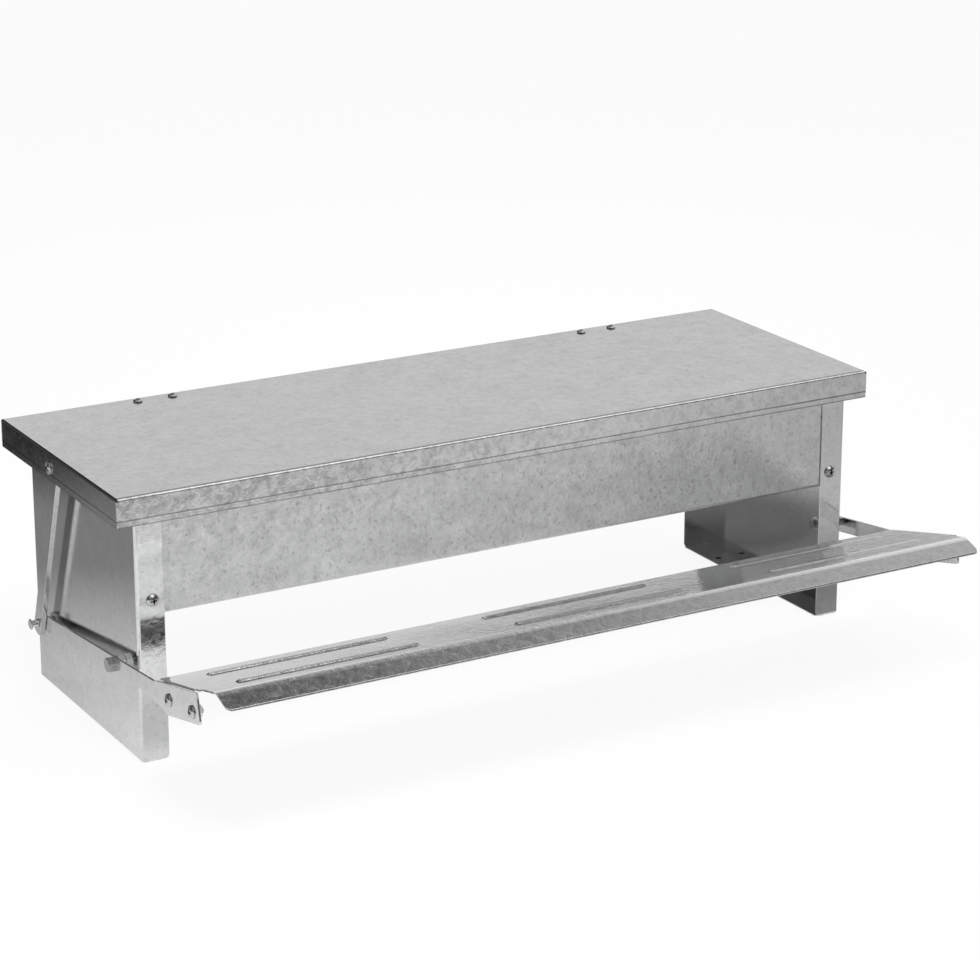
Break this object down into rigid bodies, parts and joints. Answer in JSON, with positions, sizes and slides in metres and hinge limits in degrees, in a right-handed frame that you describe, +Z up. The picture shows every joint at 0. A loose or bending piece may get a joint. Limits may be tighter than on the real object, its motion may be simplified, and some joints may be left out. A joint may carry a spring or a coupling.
{
  "type": "treadle chicken feeder",
  "caption": "Galvanised steel poultry feeder: a long folded trough between two side plates, under a hinged lid that a treadle in front lifts through side arms and links.",
  "frame": {"origin": "on the floor, midway along the length, and midway between the treadle's front edge and the lid's rear edge", "axes": "+X to the feeder's right seen from the front, +Y towards the rear, +Z up"},
  "size_m": [0.8066, 0.4722, 0.2564],
  "materials": {
    "galvanised_sheet": "hot-dip galvanised sheet with a fine mottled spangle",
    "hinge_steel": "zinc-plated pressed steel",
    "zinc_fastener": "bright zinc-plated steel"
  },
  "bodies": {
    "frame": {"trough": "galvanised_sheet", "side_plate_left": "galvanised_sheet", "pivot_bolt_left": "zinc_fastener", "pivot_inner_nut_left": "zinc_fastener", "pivot_spacer_nut_left": "zinc_fastener", "hinge_fixed_leaf_left": "hinge_steel", "hinge_pin_left": "zinc_fastener", "trough_screw_front_left": "zinc_fastener", "trough_nut_front_left": "zinc_fastener", "trough_screw_rear_left": "zinc_fastener", "trough_nut_rear_left": "zinc_fastener", "hinge_rivet_left_1": "zinc_fastener", "hinge_rivet_left_2": "zinc_fastener", "side_plate_right": "galvanised_sheet", "pivot_bolt_right": "zinc_fastener", "pivot_inner_nut_right": "zinc_fastener", "pivot_spacer_nut_right": "zinc_fastener", "hinge_fixed_leaf_right": "hinge_steel", "hinge_pin_right": "zinc_fastener", "trough_screw_front_right": "zinc_fastener", "trough_nut_front_right": "zinc_fastener", "trough_screw_rear_right": "zinc_fastener", "trough_nut_rear_right": "zinc_fastener", "hinge_rivet_right_1": "zinc_fastener", "hinge_rivet_right_2": "zinc_fastener"},
    "lid": {"lid": "galvanised_sheet", "hinge_moving_leaf_left": "hinge_steel", "lid_hinge_screw_left_1": "zinc_fastener", "lid_hinge_nut_left_1": "zinc_fastener", "lid_hinge_screw_left_2": "zinc_fastener", "lid_hinge_nut_left_2": "zinc_fastener", "lid_link_screw_left": "zinc_fastener", "lid_link_spacer_nut_left": "zinc_fastener", "lid_link_lock_nut_left": "zinc_fastener", "hinge_moving_leaf_right": "hinge_steel", "lid_hinge_screw_right_1": "zinc_fastener", "lid_hinge_nut_right_1": "zinc_fastener", "lid_hinge_screw_right_2": "zinc_fastener", "lid_hinge_nut_right_2": "zinc_fastener", "lid_link_screw_right": "zinc_fastener", "lid_link_spacer_nut_right": "zinc_fastener", "lid_link_lock_nut_right": "zinc_fastener"},
    "treadle": {"treadle_plate": "galvanised_sheet", "treadle_arm_left": "galvanised_sheet", "link_pin_left": "zinc_fastener", "treadle_screw_rear_left": "zinc_fastener", "treadle_nut_rear_left": "zinc_fastener", "treadle_screw_front_left": "zinc_fastener", "treadle_nut_front_left": "zinc_fastener", "treadle_arm_right": "galvanised_sheet", "link_pin_right": "zinc_fastener", "treadle_screw_rear_right": "zinc_fastener", "treadle_nut_rear_right": "zinc_fastener", "treadle_screw_front_right": "zinc_fastener", "treadle_nut_front_right": "zinc_fastener"},
    "link_left": {"link_left": "galvanised_sheet"},
    "link_right": {"link_right": "galvanised_sheet"}
  },
  "joints": [
    {"name": "lid_hinge", "type": "hinge", "parent": "frame", "child": "lid", "pos_m": [0, 0.21424, 0.2493], "axis": [-1, 0, 0], "range_deg": [0, 35]},
    {"name": "treadle_pivot", "type": "hinge", "parent": "frame", "child": "treadle", "pos_m": [0, 0.00314, 0.086], "axis": [1, 0, 0], "range_deg": [0, 16.77]},
    {"name": "link_pin_left_turn", "type": "hinge", "parent": "treadle", "child": "link_left", "pos_m": [-0.3905, 0.18314, 0.0652], "axis": [1, 0, 0], "range_deg": [-20.95, 0]},
    {"name": "link_pin_right_turn", "type": "hinge", "parent": "treadle", "child": "link_right", "pos_m": [0.3905, 0.18314, 0.0652], "axis": [1, 0, 0], "range_deg": [-20.95, 0]}
  ],
  "couplings": [
    {"joint": "treadle_pivot", "follows": "lid_hinge", "ratio": 0.47914},
    {"joint": "link_pin_left_turn", "follows": "lid_hinge", "ratio": -0.59842},
    {"joint": "link_pin_right_turn", "follows": "lid_hinge", "ratio": -0.59842}
  ]
}
